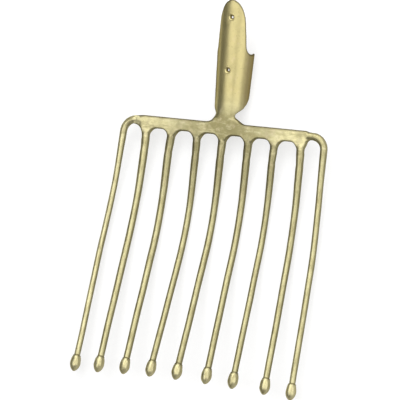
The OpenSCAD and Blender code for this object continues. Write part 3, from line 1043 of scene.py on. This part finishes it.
def forged_gold():
    """Node group: colour, with painted shade, roughness and height of lacquer over forged steel."""
    group = bpy.data.node_groups.new("forged_gold", "ShaderNodeTree")
    for name, kind in (("Color", "Color"), ("Roughness", "Float"), ("Height", "Float")):
        group.interface.new_socket(name, in_out="OUTPUT", socket_type=f"NodeSocket{kind}")
    coats = Coats(group)
    coats.coat(CLOUDED_GOLD, coats.ramp(coats.clouds(60, 3), (0.35, 0.68), most=0.55))
    lay_bar_coats(coats)
    lay_tine_coats(coats)
    lay_forge_marks(coats)
    lay_flank_shade(coats)
    lay_edge_shade(coats)
    roughness = coats.ramp(coats.clouds(160, 4), (0.3, 0.75), least=0.33, most=0.47)
    orange_peel = coats.ramp(coats.clouds(900, 3, 0.6), (0.3, 0.8), most=0.25)
    height = coats.worked("ADD", coats.clouds(240, 5), orange_peel)
    coats.node("NodeGroupOutput", Color=coats.tone, Roughness=roughness, Height=height)
    return group


def principled(name):
    """A new material, with its node maker and its shader."""
    material = bpy.data.materials.new(name)
    material.use_nodes = True
    return material, NodeMaker(material.node_tree), material.node_tree.nodes["Principled BSDF"]


def lacquered_steel():
    """The finish of all the pieces: steel under a thin clear coat."""
    material, maker, shader = principled("gold_lacquer")
    shader.inputs["Metallic"].default_value = 1.0
    shader.inputs["Specular Tint"].default_value = STEEL_TINT
    shader.inputs["Coat Weight"].default_value = 0.15
    shader.inputs["Coat Roughness"].default_value = 0.18
    gold = maker.nodes.new("ShaderNodeGroup")
    gold.node_tree = forged_gold()
    bump = maker.node("ShaderNodeBump", Strength=0.25, Distance=0.0005, Height=gold.outputs["Height"])
    maker.link(gold.outputs["Color"], shader.inputs["Base Color"])
    maker.link(gold.outputs["Roughness"], shader.inputs["Roughness"])
    maker.link(bump.outputs["Normal"], shader.inputs["Normal"])
    return material


# Floor and light

FLOOR_HALF = 4.0
FLOOR_Z = -0.0002
FLOOR_GREY = (0.38, 0.38, 0.38, 1)
FLOOR_GLOW = 0.63
# Lamps: direction as camera axis, image right and image up, then width and height in metres, and watts
LAMPS = (("key", (1.0, -0.55, 0.45), (2.3, 3.2), 35),
         ("side", (1.0, 0.64, 0.10), (2.1, 2.4), 23),
         ("top", (1.0, -0.20, 2.0), (3.0, 1.6), 26))
LAMP_DISTANCE = 2.2
LAMP_TARGET = (0, 0, 0.02)


def white_ground():
    """White ground that takes shadows and shows a little brighter to the camera, as in a cut-out picture."""
    material, maker, shader = principled("white_ground")
    shader.inputs["Base Color"].default_value = FLOOR_GREY
    shader.inputs["Roughness"].default_value = 0.9
    shader.inputs["Emission Color"].default_value = (1, 1, 1, 1)
    path = maker.nodes.new("ShaderNodeLightPath").outputs
    seen = maker.worked("MAXIMUM", path["Is Camera Ray"], path["Is Glossy Ray"])
    seen = maker.worked("MAXIMUM", seen, path["Is Transmission Ray"])
    maker.link(maker.worked("MULTIPLY", seen, FLOOR_GLOW), shader.inputs["Emission Strength"])
    return material


def make_floor():
    """A plain white ground under the fork."""
    mesh = bpy.data.meshes.new("floor")
    corners = [(FLOOR_HALF * x, FLOOR_HALF * y, 0) for x, y in ((-1, -1), (1, -1), (1, 1), (-1, 1))]
    mesh.from_pydata(corners, [], [(0, 1, 2, 3)])
    floor = put_in_scene("floor", mesh)
    floor.location.z = FLOOR_Z
    mesh.materials.append(white_ground())


def make_lamp(name, direction, size, watts):
    """A soft lamp that faces the fork."""
    data = bpy.data.lights.new(name, "AREA")
    data.shape, data.size, data.size_y = "RECTANGLE", size[0], size[1]
    data.energy = watts
    towards = direction[0] * TO_CAMERA + direction[1] * IMAGE_RIGHT + direction[2] * IMAGE_UP
    back = laid_direction(towards).normalized()
    place = Vector(LAMP_TARGET) + back * LAMP_DISTANCE
    put_in_scene(name, data).matrix_world = facing(back, laid_direction(IMAGE_UP), place)


def make_light():
    """A white room that is dimmer on the left, and three soft lamps."""
    world = bpy.data.worlds.new("studio")
    world.use_nodes = True
    maker = NodeMaker(world.node_tree)
    ground = maker.nodes["Background"]
    ground.inputs["Color"].default_value = (1, 1, 1, 1)
    x, _, _ = maker.split(maker.nodes.new("ShaderNodeTexCoord").outputs["Generated"])
    maker.link(maker.ramp(x, (-0.9, 0.1), least=0.19, most=0.43), ground.inputs["Strength"])
    bpy.context.scene.world = world
    for lamp in LAMPS:
        make_lamp(*lamp)


bpy.context.scene.view_settings.view_transform = "Standard"
make_camera()
lacquer = lacquered_steel()
make_head(lacquer)
for k in range(-SIDE, SIDE + 1):
    make_tine(k, lacquer)
    make_tip(k, lacquer)
make_floor()
make_light()
